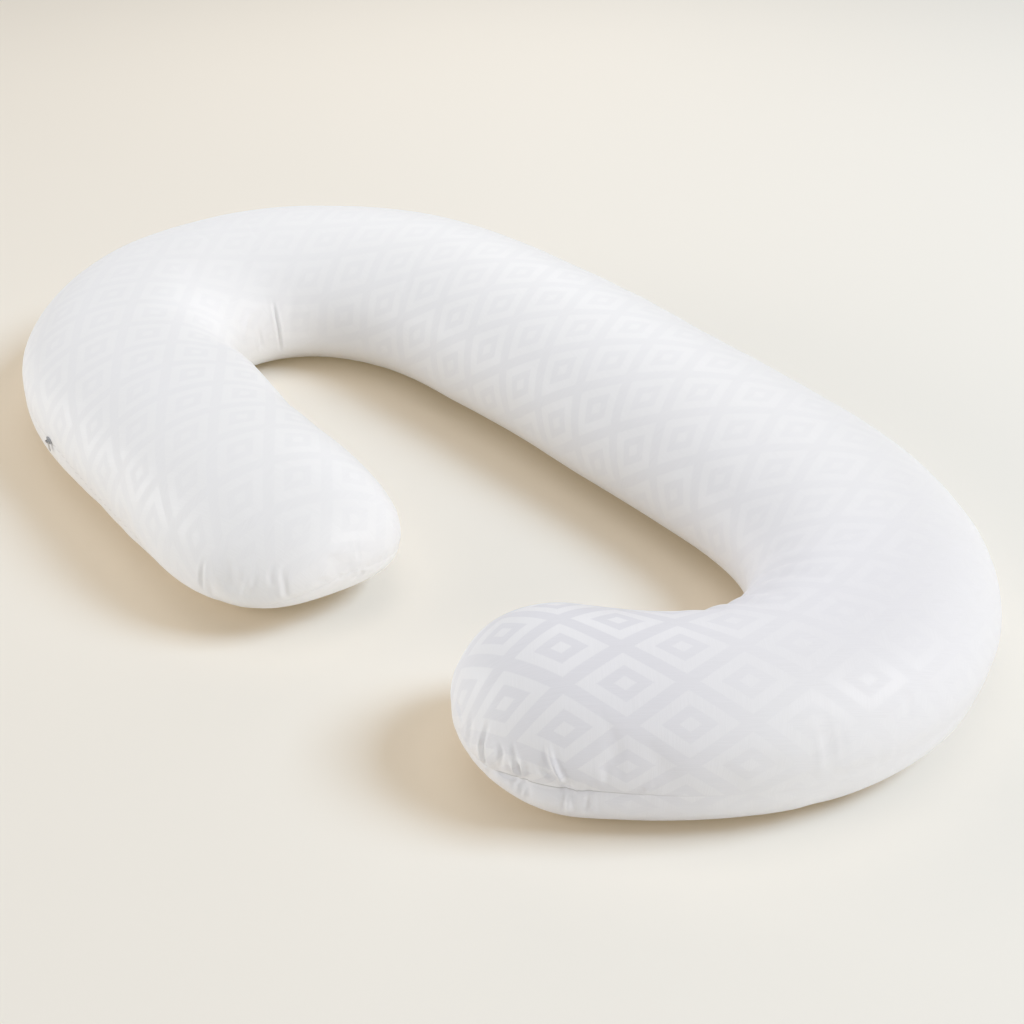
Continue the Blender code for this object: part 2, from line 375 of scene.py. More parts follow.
# %% Cloth with pressure
CLOTH = {
    "quality": 6,
    "mass": 0.15,
    "tension_stiffness": 25,
    "compression_stiffness": 25,
    "shear_stiffness": 12,
    "bending_stiffness": 1.0,
    "use_pressure": True,
    "uniform_pressure_force": 4.0,
    "shrink_max": 0.035,       # the seam is sewn this much shorter than the cloth
}
SEAM_BAND = 12.0               # degrees on each side of the seam that the sewing gathers
TRAVEL = 0.004                 # the most that the filling moves a point away from the even form
FLOOR_BAND = 0.0015            # what lies lower than this is held by the floor
EVEN_ROUNDS = 60               # rounds of averaging that find the even part of the swelling
LAST_FRAME = 20
SLACKNESS = (
    # share, how much of the unevenness the cloth keeps there
    (0.00, 0.40),
    (0.02, 0.60),
    (0.05, 0.90),
    (0.12, 0.40),
    (0.25, 0.30),
    (0.34, 0.35),
    (0.42, 0.20),
    (0.70, 0.20),
    (0.82, 0.35),
    (0.92, 0.50),
    (0.96, 1.00),
    (1.00, 1.00),
)


# %% Fill the cover
def degrees_from_seam(share, degrees):
    """Degrees between a point and the nearer seam of its ring."""
    outer, inner = (through_rows(SEAM_ANGLES, column, share) for column in (1, 2))
    return np.minimum(*(np.abs((degrees - seam + 180) % 360 - 180) for seam in (outer, inner)))


def fill(piece):
    """Blow the cover up with Blender's cloth and return how far each point leaves the even form."""
    before = points_of(piece)
    share, degrees = places_of(piece)
    from_seam = degrees_from_seam(share, degrees)
    floor = piece.vertex_groups.new(name="lies on the floor")
    floor.add(np.flatnonzero(before[:, 2] < FLOOR_BAND).tolist(), 1.0, "REPLACE")
    seam = piece.vertex_groups.new(name="seam")
    for index in np.flatnonzero(from_seam < SEAM_BAND).tolist():
        seam.add([index], float(1 - from_seam[index] / SEAM_BAND), "REPLACE")

    only(piece)
    modifier = piece.modifiers.new("filling", "CLOTH")
    settings = modifier.settings
    for key, value in CLOTH.items():
        setattr(settings, key, value)
    settings.vertex_group_mass = floor.name
    settings.vertex_group_shrink = seam.name
    settings.effector_weights.gravity = 0.0
    modifier.collision_settings.use_collision = False
    modifier.point_cache.frame_end = LAST_FRAME
    scene = bpy.context.scene
    for number in range(1, LAST_FRAME + 1):
        scene.frame_set(number)
    bpy.ops.object.modifier_apply(modifier=modifier.name)
    scene.frame_set(1)
    piece.vertex_groups.clear()

    travel = points_of(piece) - before
    travel -= smoothed(piece, travel, EVEN_ROUNDS)
    length = np.linalg.norm(travel, axis=1)
    print("uneven part in mm: mean", round(length.mean() / MM, 2), "most", round(length.max() / MM, 1))
    kept = through_rows(SLACKNESS, 1, share) * np.minimum(length, TRAVEL) / np.maximum(length, 1e-9)
    return travel * kept[:, None]


lift = np.zeros((len(cover.data.vertices), 3))
lift = fill(cover)


# %% Carry the unevenness over to finer cloth
def carry(piece, values, name):
    """Keep a vector at each vertex while the mesh becomes finer."""
    kept = piece.data.attributes.new(name, "FLOAT_VECTOR", "POINT")
    kept.data.foreach_set("vector", np.asarray(values, np.float32).ravel())


def carried(piece, name):
    kept = piece.data.attributes[name]
    values = read_array(kept.data, "vector", 3).astype(float)
    piece.data.attributes.remove(kept)
    return values


SLACK = 0.0015                 # the cover is sewn this much smaller than the solid, so its folds have room
SLACK_HEIGHT = 0.02            # full from this height upwards, so that the underside stays on the floor
CARRY_ROUNDS = 2               # rounds of averaging that take the steps out of what was carried over

carry(cover, lift, "lift")
subdivide(cover)
share, degrees = places_of(cover)
lift = smoothed(cover, carried(cover, "lift"), CARRY_ROUNDS)
even_points = cushion_points(share, degrees, CENTRE)
move_points(cover, even_points)
even_points -= SLACK * smooth_step(even_points[:, 2:] / SLACK_HEIGHT) * points_of(cover, "normal")
move_points(cover, even_points + lift)
print("after the second step:", len(cover.data.vertices), "points")

# %% [markdown]
# ## Creases and puckers
#
# The simulation knows nothing of how this pillow was handled, so the creases that give it its character are
# listed one by one. They could be sculpted, or cut in as edges. Here each is a short path over the cloth,
# from one share and angle to another, and the cloth dips along it and rises beside it, as a fold in stuffed
# cloth does. The inside of the far bend has one sharp fold and the inside of the near bend a fan of soft
# ones, because the cloth has nowhere else to go there. At both ends the seam's gathers pucker the panels.
# The same tool with a depth below zero raises a fold, and one wide low row of that kind is a heap of
# filling, on the far arm's inner side just before the bend.

# %% Creases, one by one
CREASES = (
    # the places (share, angle) that it passes, half width and depth in mm, share of the depth at its start
    # inside the far bend
    (((0.3453, 198), (0.3452, 180), (0.3423, 159)), 2.1, 3.8, 0.5),
    (((0.3320, 156), (0.3090, 162), (0.2920, 178)), 4.5, -1.5, 0.4),
    (((0.3200, 174), (0.3240, 192)), 2.4, 2.4, 0.1),
    (((0.3620, 150), (0.3560, 190)), 6.0, 0.8, 0.0),
    (((0.2255, 128), (0.2110, 130), (0.2050, 138)), 3.0, 0.9, 0.0),
    # the heap of filling beside it
    (((0.1500, 140), (0.1750, 144), (0.2050, 150)), 26.0, -6.0, 0.5),
    # across its crown
    (((0.3350, 83), (0.3370, 106)), 3.5, 1.2, 0.0),
    (((0.3125, 82), (0.3150, 98)), 3.5, 1.2, 0.0),
    (((0.2285, 30), (0.2160, 24)), 3.0, 1.0, 0.0),
    # the back
    (((0.4400, 122), (0.4480, 146)), 5.0, 0.8, 0.0),
    # the fan inside the near bend
    (((0.8620, 92), (0.8660, 152)), 8.0, 2.2, 0.0),
    (((0.8480, 104), (0.8460, 168)), 8.0, 2.4, 0.0),
    (((0.8280, 94), (0.8260, 160)), 8.0, 2.2, 0.0),
    (((0.8140, 112), (0.8100, 166)), 7.0, 1.8, 0.0),
    (((0.7950, 126), (0.7920, 170)), 7.0, 1.0, 0.0),
    (((0.8800, 112), (0.8850, 162)), 8.0, 1.8, 0.0),
    # the near bend's outer flank
    (((0.8705, 48), (0.8712, 30), (0.8720, 14), (0.8725, -3)), 2.6, 2.5, 0.0),
    (((0.8692, 38), (0.8688, 20), (0.8688, 8)), 3.0, 1.5, 0.0),
    (((0.8463, 38), (0.8490, 18)), 4.0, 1.2, 0.0),
    (((0.8557, 14), (0.8547, -6)), 4.0, -0.8, 0.0),
    # gathers at the near end
    (((0.9838, 28), (0.9866, 5), (0.9852, -18)), 2.2, 3.4, 0.1),
    (((0.9796, 16), (0.9780, 10), (0.9798, -8)), 2.2, 1.8, 0.1),
    (((0.9742, 21), (0.9720, -4)), 2.4, 1.8, 0.0),
    (((0.9722, 4), (0.9718, -10)), 2.0, 2.6, 0.5),
    (((0.9740, 4), (0.9729, -22)), 2.2, -3.4, 0.2),
    (((0.9702, 12), (0.9694, -24)), 2.2, -4.0, 0.1),
    (((0.9627, 9), (0.9568, -1)), 2.8, 2.2, 0.2),
    (((0.9602, 24), (0.9584, 13), (0.9527, -2), (0.9511, -26)), 2.5, -3.9, 0.1),
    (((0.9482, 0), (0.9477, -12)), 2.4, 2.4, 0.5),
    (((0.9430, 2), (0.9416, -18)), 2.6, -2.8, 0.2),
    (((0.9380, 18), (0.9372, 0)), 3.5, 0.9, 0.0),
    (((0.9250, -5), (0.9213, 6)), 2.8, -2.8, 0.3),
    (((0.9907, 30), (0.9920, -6)), 3.0, 1.4, 0.2),
    (((0.9974, 46), (0.9946, 16)), 2.6, 1.8, 0.2),
    (((0.9943, 2), (0.9910, -8)), 2.2, 1.6, 0.5),
    (((0.9990, 130), (0.9960, 165), (0.9950, 186)), 2.6, 2.2, 0.2),
    (((0.9850, 150), (0.9845, 188)), 2.6, 2.0, 0.1),
    (((0.9700, 158), (0.9705, 192)), 3.0, 1.6, 0.1),
    # gathers at the far end
    (((0.0354, 15), (0.0356, 2), (0.0379, -10)), 2.3, 2.0, 0.2),
    (((0.0240, 26), (0.0205, -4)), 8.0, 2.2, 0.2),
    (((0.0165, 33), (0.0143, 10), (0.0175, -14)), 3.2, -1.3, 0.3),
    (((0.0123, 22), (0.0125, 5)), 2.4, 0.9, 0.2),
    (((0.0105, 40), (0.0072, 10)), 2.6, 1.1, 0.1),
    (((0.0091, 44), (0.0060, 16)), 2.6, -0.6, 0.2),
    (((0.0068, 39), (0.0044, 12), (0.0043, -18)), 3.0, 1.5, 0.1),
    (((0.0144, 114), (0.0077, 111), (0.0036, 111), (0.0017, 115), (0.0005, 128)), 1.8, 1.1, 0.7),
    (((0.0003, 225), (0.0012, 262)), 2.6, 2.0, 0.6),
    (((0.0026, 174), (0.0025, 212), (0.0026, 236)), 2.4, 1.8, 0.3),
    (((0.0300, 160), (0.0310, 190)), 3.0, 1.8, 0.1),
    (((0.0130, 150), (0.0120, 186)), 2.6, 2.0, 0.1),
)

# %% How one crease lifts the cloth
RIDGE = 0.42                   # how high the cloth rises beside a crease, as a share of its depth
FAR_SIDE_RIDGE = 0.45          # the ridge on its other side, as a share of the first
RIDGE_AT, RIDGE_SPREAD = 2.1, 0.9    # how far from the crease, and how broad, in half widths
REACH = 4                      # half widths from the crease to the last cloth that it moves
FADE_IN, FADE_OUT = 0.60, 0.22       # the shares of its length over which it deepens and fades
PATH_POINTS, PATH_ROUNDS = 15, 3     # points along its path, and rounds of rounding off its corners


def crease_path(places):
    """Points along a crease, which passes its places in one soft curve."""
    place = np.linspace(0, len(places) - 1, PATH_POINTS)
    share, degrees = (np.interp(place, range(len(places)), column) for column in zip(*places))
    path = cushion_points(share, degrees, CENTRE)
    for _ in range(PATH_ROUNDS):
        path[1:-1] = (path[:-2] + 2 * path[1:-1] + path[2:]) / 4
    return path


def crease_lift(points, normals, row):
    """How far one crease lifts each point along its normal, as indices and metres."""
    places, half_width, depth, at_start = row
    path = crease_path(places)
    half_width = half_width * MM
    reach = REACH * half_width
    near = np.flatnonzero(((points > path.min(0) - reach) & (points < path.max(0) + reach)).all(1))
    step = np.diff(path, axis=0)
    away = points[near, None] - path[None, :-1]
    part = np.clip((away * step).sum(-1) / (step**2).sum(-1), 0, 1)
    away -= part[..., None] * step
    distance = np.linalg.norm(away, axis=-1)
    nearest = distance.argmin(1)
    row_index = np.arange(len(near))
    side = np.sign((np.cross(step[nearest], normals[near]) * away[row_index, nearest]).sum(1))
    x = distance[row_index, nearest] / half_width
    at = (nearest + part[row_index, nearest]) / (PATH_POINTS - 1)
    ridge = np.where(side > 0, RIDGE, RIDGE * FAR_SIDE_RIDGE) * np.exp(-((x - RIDGE_AT) / RIDGE_SPREAD) ** 2)
    fade = at_start + (1 - at_start) * np.sin(pi / 2 * np.clip(at / FADE_IN, 0, 1))
    fade *= np.sin(pi / 2 * np.clip((1 - at) / FADE_OUT, 0, 1))
    return near, depth * MM * fade * (ridge - np.exp(-x**2))


# %% Press the creases in
def press_creases(piece, rows):
    points, normals = points_of(piece), points_of(piece, "normal")
    rise = np.zeros(len(points))
    for row in rows:
        near, lift = crease_lift(points, normals, row)
        rise[near] += lift
    move_points(piece, points + normals * rise[:, None])
    return rise


risen = press_creases(cover, CREASES)
print(len(CREASES), "creases; deepest and highest in mm:", np.round([risen.min() / MM, risen.max() / MM], 1))

# %% [markdown]
# ## The seam
#
# Seen from outside a plain seam is a ditch: the two panels turn inwards to their stitches. It could be a
# bevelled edge loop, but the rows that were left for it are fine enough to press the ditch in as a profile
# of the distance from the stitches. Where the filling pulls the cloth tight, as round the bends, hardly any
# ditch is left. Along the zip it ripples, because the zip's tape is stiffer than the cloth.

# %% Sizes of the seam and the zip
DITCH = 0.0012                 # depth of the seam's ditch
DITCH_WIDTH = 0.0015
DRAW_IN = 0.0009               # how far the stitches draw the cloth beside them in
DRAW_WIDTH = 0.010
SEAM_DEPTHS = (
    # share, how much of its full depth the ditch has
    (0.00, 0.05),
    (0.015, 0.08),
    (0.05, 0.40),
    (0.20, 0.50),
    (0.28, 0.30),
    (0.50, 0.40),
    (0.80, 0.15),
    (0.905, 0.10),
    (0.925, 0.50),
    (0.94, 0.80),
    (0.978, 0.80),
    (0.99, 0.20),
    (1.00, 0.10),
)
ZIP_SHARES = (0.060, 0.196)    # where the zip lies in the outer seam: its foot and its slider
ZIP_RIPPLE = 0.0008
ZIP_WAVE = 0.013
ZIP_WIDTH = 0.009
ZIP_FADES = (0.010, 0.004)     # the shares over which the ripple starts and stops
SEAM_POINTS = 4000


# %% Distance from the stitches, and along them
def seam_line():
    """The closed line of stitches: out along the outer side and back along the inner side."""
    share = (1 - np.cos(np.linspace(0, pi, SEAM_POINTS))) / 2
    angles = (through_rows(SEAM_ANGLES, column, share) for column in (1, 2))
    outer, inner = (cushion_points(share, degrees, CENTRE) for degrees in angles)
    return np.vstack([outer, inner[-2::-1]])


def seam_distances(points):
    """Metres from the line of stitches, and metres along it."""
    line = seam_line()
    travelled = np.append(0, np.cumsum(np.linalg.norm(np.diff(line, axis=0), axis=1)))
    tree = KDTree(len(line))
    for index, stitch in enumerate(line):
        tree.insert(stitch, index)
    tree.balance()
    nearest = np.array([tree.find(point)[1] for point in points])
    start = np.clip(nearest - 1, 0, len(line) - 3)
    away, along = np.full(len(points), np.inf), np.zeros(len(points))
    for first in (start, start + 1):
        step = line[first + 1] - line[first]
        part = np.clip(((points - line[first]) * step).sum(1) / (step**2).sum(1), 0, 1)
        distance = np.linalg.norm(points - line[first] - part[:, None] * step, axis=1)
        closer = distance < away
        away[closer] = distance[closer]
        along[closer] = (travelled[first] + part * np.linalg.norm(step, axis=1))[closer]
    print("the seam is", round(travelled[-1], 2), "m long")
    return away, along


# %% Press the seam in
from_seam, along_seam = seam_distances(cushion_points(share, degrees, CENTRE))
seam_depth = through_rows(SEAM_DEPTHS, 1, share)
points, normals = points_of(cover), points_of(cover, "normal")
ditch = DITCH * np.exp(-(from_seam / DITCH_WIDTH) ** 2)
press = -seam_depth * (ditch + DRAW_IN * np.exp(-(from_seam / DRAW_WIDTH) ** 2))
in_zip = smooth_step((share - ZIP_SHARES[0]) / ZIP_FADES[0])
in_zip *= smooth_step((ZIP_SHARES[1] - share) / ZIP_FADES[1])
in_zip *= np.cos(np.radians(degrees)) > 0
press += ZIP_RIPPLE * in_zip * np.exp(-(from_seam / ZIP_WIDTH) ** 2) * np.sin(along_seam / ZIP_WAVE * 2 * pi)
move_points(cover, points + normals * press[:, None])

# %% [markdown]
# ## The filling's own lumps
#
# Fibre filling never lies quite even. Two sizes of slow noise lift the cloth by a millimetre or two, less
# near the floor, where the pillow's weight flattens them.

# %% Lumps
LUMPS = (
    # size of a lump and how high it rises, in metres
    (0.160, 0.0016),
    (0.055, 0.0006),
)
LUMP_FADE = 0.03               # the height over which they fade towards the floor


def lump_rise(points):
    rise = np.zeros(len(points))
    for size, height in LUMPS:
        rise += height * np.array([noise.noise(Vector(point) / size) for point in points])
    return rise * smooth_step(points[:, 2] / LUMP_FADE)


points, normals = points_of(cover), points_of(cover, "normal")
points += normals * lump_rise(points)[:, None]
points[:, 2] = np.maximum(points[:, 2], 0.0)
move_points(cover, points)
for polygon in cover.data.polygons:
    polygon.use_smooth = True
print("finished cover:", sum(len(polygon.vertices) - 2 for polygon in cover.data.polygons), "triangles")

# %% [markdown]
# ## Where the cloth was cut
#
# The weave has to follow the cloth, not the air around it. A pillow this curled is cut less curled than it
# lies, so each panel is laid flat with its bends opened by a fifth, and every corner gets its place on that
# flat cloth in metres, as a map named `cloth`. Two attributes keep how far each point lies from the seam
# and how deep the seam is there.

# %% Lay the panels flat
CURL_WHEN_CUT = 0.8            # how much of the pillow's turning was cut into the panels
PANELS = (
    # panel, first and last angle that is measured, its middle, which way its rows run, metres aside
    ("top", -10.0, 250.0, CROWN, 1, 0.0),
    ("bottom", 170.0, 370.0, UNDERSIDE, -1, -2.5),
)
FLAT_RINGS, FLAT_STEP = 400, 5.0    # measured rings, and degrees between the points of one
# An angle beyond the measured ones is read as the nearest of them.


def lay_flat(first, last, middle, direction, aside):
    """Where a panel lies on the flat cloth: its shares, its angles, and a grid of metres for X and for Y."""
    share = even_shares(FLAT_RINGS)
    around = np.arange(first, last + FLAT_STEP / 2, FLAT_STEP)
    grid = cushion_points(share[:, None], around[None], CENTRE)
    middle = int(round((middle - first) / FLAT_STEP))
    spine = np.diff(grid[:, middle], axis=0)
    heading = np.interp((share[1:] + share[:-1]) / 2, LINE_SHARE, LINE_HEADING)
    ahead = np.hypot(spine[:, 0] * np.cos(heading) + spine[:, 1] * np.sin(heading), spine[:, 2])
    aslant = spine[:, 1] * np.cos(heading) - spine[:, 0] * np.sin(heading)
    flat = (heading - LINE_HEADING[-1]) * CURL_WHEN_CUT
    x = np.append(0, np.cumsum(ahead * np.cos(flat) - aslant * np.sin(flat)))
    y = np.append(0, np.cumsum(ahead * np.sin(flat) + aslant * np.cos(flat)))
    arc = np.cumsum(np.linalg.norm(np.diff(grid, axis=1), axis=2), axis=1)
    arc = np.hstack([np.zeros((len(share), 1)), arc])
    outwards = (arc[:, middle][:, None] - arc) * direction
    flat = (np.interp(share, LINE_SHARE, LINE_HEADING) - LINE_HEADING[-1])[:, None] * CURL_WHEN_CUT
    return share, around, x[:, None] - outwards * np.sin(flat), y[:, None] + outwards * np.cos(flat) + aside


# %% Give every corner its place on the flat cloth
def read_grid(share, around, grid, at_share, at_angle):
    """Values between the points of a grid, even in share and in angle."""
    row = np.clip(np.searchsorted(share, at_share) - 1, 0, len(share) - 2)
    down = (at_share - share[row]) / (share[row + 1] - share[row])
    place = np.clip((at_angle - around[0]) / FLAT_STEP, 0, len(around) - 1)
    column = np.minimum(place.astype(int), len(around) - 2)
    over = place - column
    upper = grid[row, column] * (1 - over) + grid[row, column + 1] * over
    lower = grid[row + 1, column] * (1 - over) + grid[row + 1, column + 1] * over
    return upper * (1 - down) + lower * down


def map_cloth(piece):
    mesh = piece.data
    corner = corner_places(piece).astype(float)
    sizes = read_array(mesh.polygons, "loop_total", kind=np.int32)[:, 0]
    face = np.repeat(np.arange(len(sizes)), sizes)
    face_share, face_angle = ((np.bincount(face, corner[:, axis]) / sizes)[face] for axis in (0, 1))
    on_top = face_angle * 360 < through_rows(SEAM_ANGLES, 2, face_share)
    cloth = np.zeros_like(corner)
    for (name, *shape), mine in zip(PANELS, (on_top, ~on_top)):
        table_share, around, x, y = lay_flat(*shape)
        for column, grid in enumerate((x, y)):
            cloth[mine, column] = read_grid(table_share, around, grid, *(corner[mine] * (1, 360)).T)
        print(name, "panel:", np.round(np.ptp(cloth[mine], axis=0), 2), "m of cloth")
    mesh.uv_layers.new(name="cloth").uv.foreach_set("vector", cloth.astype(np.float32).ravel())
    mesh.uv_layers.active = mesh.uv_layers["cloth"]


def keep_numbers(piece, name, values):
    """Keep one number at each vertex, for a material to read."""
    piece.data.attributes.new(name, "FLOAT", "POINT").data.foreach_set("value", values.astype(np.float32))


map_cloth(cover)
keep_numbers(cover, "from_seam", from_seam)
keep_numbers(cover, "seam_depth", seam_depth)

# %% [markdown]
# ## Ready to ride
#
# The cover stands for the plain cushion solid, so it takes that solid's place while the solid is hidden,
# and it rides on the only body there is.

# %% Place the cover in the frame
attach(cover, "root")
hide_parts(SOLID)

# %% [markdown]
# ## Small tools for materials
#
# A weave is arithmetic on the place of a thread, so its node trees are long chains of sums. Small helpers
# keep them readable: one adds a node and sets or links its inputs, one adds a step of arithmetic, and others
# mix two colours, read a number that the cloth keeps, or begin a material or a group.

# %% Nodes, sums and mixtures
def feed(tree, socket, value):
    """Link an output into a node's socket, or set the socket to a number or a colour."""
    if isinstance(value, bpy.types.NodeSocket):
        tree.links.new(value, socket)
    else:
        socket.default_value = value


def add_node(tree, kind, name="", settings=(), **inputs):
    """A new node. Settings are its own properties, and inputs are its sockets by name."""
    node = tree.nodes.new(kind)
    node.label = name
    for key, value in dict(settings).items():
        setattr(node, key, value)
    for key, value in inputs.items():
        feed(tree, node.inputs[key.replace("_", " ")], value)
    return node


def calculate(tree, operation, *values):
    """One step of arithmetic on sockets or numbers; its answer's socket."""
    node = add_node(tree, "ShaderNodeMath", settings={"operation": operation})
    for socket, value in zip(node.inputs, values):
        feed(tree, socket, value)
    return node.outputs[0]


COLOUR_FACTOR, FIRST_COLOUR, SECOND_COLOUR, MIXED_COLOUR = 0, 6, 7, 2    # sockets of a mix of colours


def blend_colours(tree, factor, first, second, mode="MIX"):
    """Two colours, mixed by a factor; the mixture's socket."""
    node = add_node(tree, "ShaderNodeMix", settings={"data_type": "RGBA", "blend_type": mode})
    for index, value in ((COLOUR_FACTOR, factor), (FIRST_COLOUR, first), (SECOND_COLOUR, second)):
        feed(tree, node.inputs[index], value)
    return node.outputs[MIXED_COLOUR]


def read_number(tree, name):
    """What an attribute keeps at each vertex."""
    return add_node(tree, "ShaderNodeAttribute", settings={"attribute_name": name}).outputs["Fac"]


def bump(tree, height, strength, distance):
    return add_node(tree, "ShaderNodeBump", Height=height, Strength=strength, Distance=distance).outputs[0]


# %% Materials and groups
def new_material(name):
    """A new material and its node tree."""
    material = bpy.data.materials.new(name)
    material.use_nodes = True
    return material, material.node_tree


def feed_shader(tree, **inputs):
    """Feed the sockets of the material's own shader, by name."""
    for key, value in inputs.items():
        feed(tree, tree.nodes["Principled BSDF"].inputs[key.replace("_", " ")], value)


def new_group(name, inputs, outputs):
    """An empty shader node group with named sockets, and its input and output nodes."""
    group = bpy.data.node_groups.new(name, "ShaderNodeTree")
    for label, kind, default in inputs:
        socket = group.interface.new_socket(label, in_out="INPUT", socket_type=kind)
        if default is not None:
            socket.default_value = default
    for label, kind in outputs:
        group.interface.new_socket(label, in_out="OUTPUT", socket_type=kind)
    return group, group.nodes.new("NodeGroupInput"), group.nodes.new("NodeGroupOutput")


def use_group(tree, group, **inputs):
    return add_node(tree, "ShaderNodeGroup", settings={"node_tree": group}, **inputs)


# %% [markdown]
# ## The jacquard's figure
#
# Jacquard satin is one white cloth with two faces. Where the warp threads float on top it looks light and
# glossy, and where the weft threads do it looks duller and a shade cooler, so a figure shows tone on tone.
# It could be a picture, but a repeat as plain as this is better drawn by rule: lozenges nested in lozenges,
# edge to edge all over the cloth, the oldest of diaper weaves. The edge of a figure moves from thread to
# thread in small steps.

# %% The figure as a mask
FIGURE_WIDTH = 0.112           # a lozenge from corner to corner across the cloth, in metres
FIGURE_HEIGHT = 0.078          # and along it
FIGURE_BANDS = (
    # which rings of a lozenge are woven light: from and to, 0 in the middle and 1 at the edge
    (0.46, 0.80),
    (-1.0, 0.18),
)
EDGE_STEP = 0.0012             # the threads that a figure's edge moves by
EDGE_SOFTNESS = 0.025


def make_figure():
    group, given, result = new_group(
        "diaper figure",
        (("Cloth", "NodeSocketVector", None), ("Width", "NodeSocketFloat", FIGURE_WIDTH),
         ("Height", "NodeSocketFloat", FIGURE_HEIGHT)),
        (("Figure", "NodeSocketFloat"),))
    cloth = add_node(group, "ShaderNodeSeparateXYZ", Vector=given.outputs["Cloth"])
    from_middle = []
    for axis, size in (("X", "Width"), ("Y", "Height")):
        stepped = calculate(group, "SNAP", cloth.outputs[axis], EDGE_STEP)
        place = calculate(group, "FRACT", calculate(group, "DIVIDE", stepped, given.outputs[size]))
        from_middle.append(calculate(group, "ABSOLUTE", calculate(group, "SUBTRACT", place, 0.5)))
    lozenge = calculate(group, "MULTIPLY", calculate(group, "ADD", *from_middle), 2.0)
    lozenge = calculate(group, "MINIMUM", lozenge, calculate(group, "SUBTRACT", 2.0, lozenge))
    figure = 0.0
    for inner, outer in FIGURE_BANDS:
        band = 1.0
        for edge, sign in ((inner, 1.0), (outer, -1.0)):
            steepness = sign / EDGE_SOFTNESS
            inside = calculate(group, "MULTIPLY_ADD", lozenge, steepness, 0.5 - steepness * edge)
            inside.node.use_clamp = True
            band = calculate(group, "MULTIPLY", band, inside)
        figure = calculate(group, "MAXIMUM", figure, band)
    group.links.new(figure, result.inputs["Figure"])
    return group


figure_group = make_figure()
print("figure:", len(figure_group.nodes), "nodes, lozenges of", FIGURE_WIDTH, "by", FIGURE_HEIGHT, "m")

# %% [markdown]
# ## Threads
#
# Satin threads are far finer than anything else on the pillow, but up close they are what makes it cloth.
# In the figure they run along the warp and in the ground along the weft, each set a row of fine ridges with
# slubs, the long uneven streaks that any yarn has. The group gives a height for bump and a streak for
# colour and gloss.

# %% Thread ridges and slubs
THREAD = 0.00055               # from one thread to the next, in metres
SLUB_LENGTH = 0.030
SLUB_WIDTH = 0.0011
RIDGE_SHARE = 0.10             # how high the ridges stand beside the slubs


def make_threads():
    group, given, result = new_group(
        "satin threads",
        (("Cloth", "NodeSocketVector", None), ("Figure", "NodeSocketFloat", 0.5),
         ("Thread", "NodeSocketFloat", THREAD)),
        (("Height", "NodeSocketFloat"), ("Slub", "NodeSocketFloat")))
    cloth = add_node(group, "ShaderNodeSeparateXYZ", Vector=given.outputs["Cloth"])
    sets = {}
    for name, across, scale in (("warp", "X", (1 / SLUB_WIDTH, 1 / SLUB_LENGTH, 1)),
                                ("weft", "Y", (1 / SLUB_LENGTH, 1 / SLUB_WIDTH, 1))):
        threads = calculate(group, "DIVIDE", cloth.outputs[across], given.outputs["Thread"])
        ridge = calculate(group, "SINE", calculate(group, "MULTIPLY", threads, 2 * pi))
        stretched = add_node(group, "ShaderNodeMapping", Vector=given.outputs["Cloth"], Scale=scale)
        slub = add_node(group, "ShaderNodeTexNoise", name + " slubs", {"noise_dimensions": "2D"},
                        Vector=stretched.outputs[0], Scale=1.0, Detail=1.0)
        sets[name] = (ridge, slub.outputs[0])
    picked = []
    for warp, weft in zip(sets["warp"], sets["weft"]):
        difference = calculate(group, "SUBTRACT", warp, weft)
        picked.append(calculate(group, "MULTIPLY_ADD", difference, given.outputs["Figure"], weft))
    ridge, slub = picked
    height = calculate(group, "MULTIPLY_ADD", ridge, RIDGE_SHARE, slub)
    group.links.new(height, result.inputs["Height"])
    group.links.new(slub, result.inputs["Slub"])
    return group


threads_group = make_threads()
print("threads:", len(threads_group.nodes), "nodes,", round(1 / THREAD), "threads to the metre")

# %% [markdown]
# ## The cover's cloth
#
# The two groups meet in one material. The figure is white and glossy, the ground a duller lilac grey, slubs
# streak both by a hair, and broad soft patches drift between a warm and a cool white, as washed cloth does.
# The figure's contrast is painted sheen and shade: the ground stands out most, and darkens the cloth most,
# on the near arm, and pales elsewhere; one attribute keeps how much. A second keeps a painted cool sheen
# and shade, which darkens and cools the cloth most round the near bend, where its sheen is coolest. Both
# could be painted by hand; a table of shares is easier to read and to change. The ditch is a thin darker
# line: partly the grey of the stitches deep in it, partly painted shade, darker where the ditch is deeper.

# %% How clearly the figure shows, and the cool sheen: painted sheen and shade
PAINTED_SHEEN_TABLE = (
    # share; how clearly the figure shows on the outer and the inner half, as painted sheen and shade;
    # how much painted cool sheen and shade each of them has
    (0.00, 0.10, 0.14, 0.04, 0.04),
    (0.10, 0.18, 0.22, 0.06, 0.06),
    (0.22, 0.24, 0.20, 0.06, 0.10),
    (0.32, 0.12, 0.12, 0.08, 0.10),
    (0.45, 0.06, 0.26, 0.00, 0.08),
    (0.65, 0.06, 0.30, 0.04, 0.25),
    (0.76, 0.08, 0.20, 0.12, 0.45),
    (0.84, 0.08, 0.18, 0.40, 0.90),
    (0.88, 0.12, 0.32, 0.22, 1.00),
    (0.92, 0.36, 0.90, 0.60, 0.65),
    (0.97, 0.50, 0.90, 0.35, 0.50),
    (1.00, 0.30, 0.50, 0.20, 0.25),
)
UNDER_PLAINER = 0.8            # how much less of the figure shows where the cloth turns under
UNDER_EDGE = 3                 # how soon it is that plain below the middle: at a third of the way down
